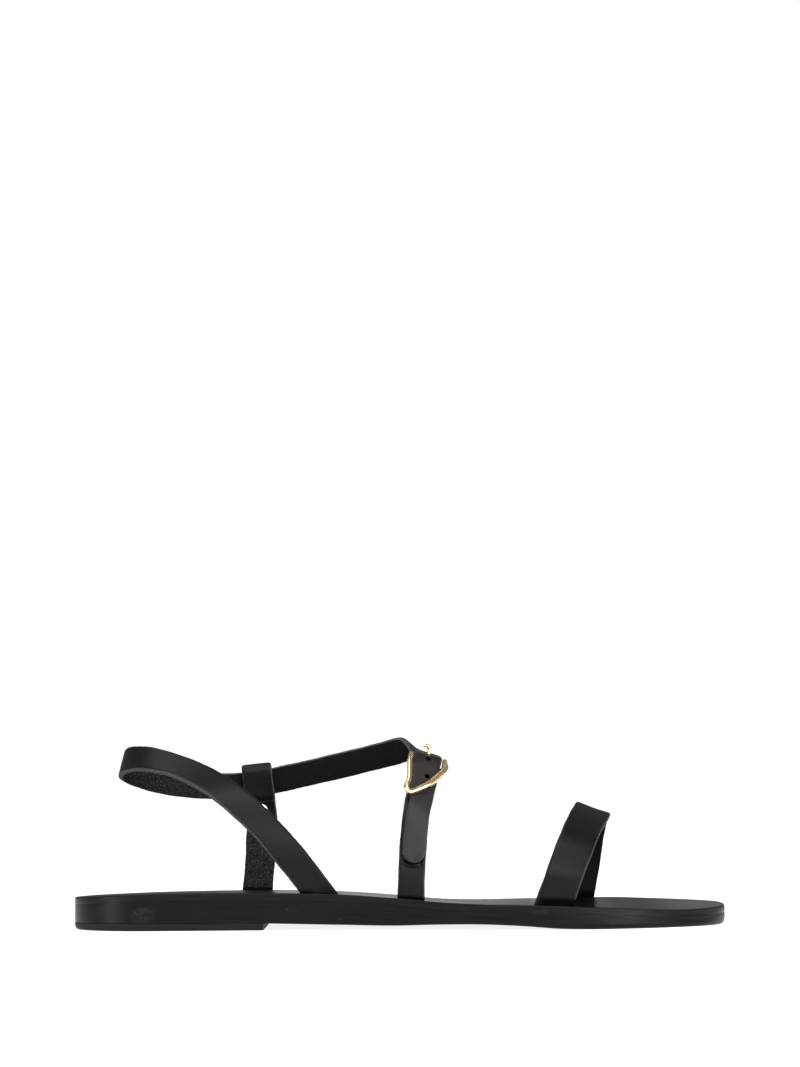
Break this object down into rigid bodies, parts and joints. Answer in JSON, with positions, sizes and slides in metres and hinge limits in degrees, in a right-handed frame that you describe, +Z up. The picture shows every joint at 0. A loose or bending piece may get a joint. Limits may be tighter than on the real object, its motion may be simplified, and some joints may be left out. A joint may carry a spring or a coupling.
{
  "type": "flat sandal",
  "caption": "Flat leather slingback sandal for the right foot: a layered sole with a thin heel lift, a toe strap, and a long strap round the heel that buckles over the instep.",
  "frame": {"origin": "middle of the sole's length and width, on the floor plane under the sandal", "axes": "+X towards the toe, +Y towards the inner side of the foot, +Z up"},
  "size_m": [0.25, 0.0862, 0.0729],
  "materials": {
    "sole_leather": "smooth black leather with burnished edges",
    "strap_leather": "smooth black leather, raw cut edges and napped inner side",
    "heel_rubber": "matte black rubber",
    "buckle_brass": "polished brass",
    "rivet_steel": "polished nickel-plated steel"
  },
  "bodies": {
    "root": {"insole": "sole_leather", "outsole": "sole_leather", "heel_lift": "heel_rubber", "toe_strap": "strap_leather", "sling_strap": "strap_leather", "buckle_strap": "strap_leather", "loop_tab": "strap_leather", "rivet": "rivet_steel", "buckle_frame": "buckle_brass", "buckle_prong": "buckle_brass"}
  },
  "joints": []
}
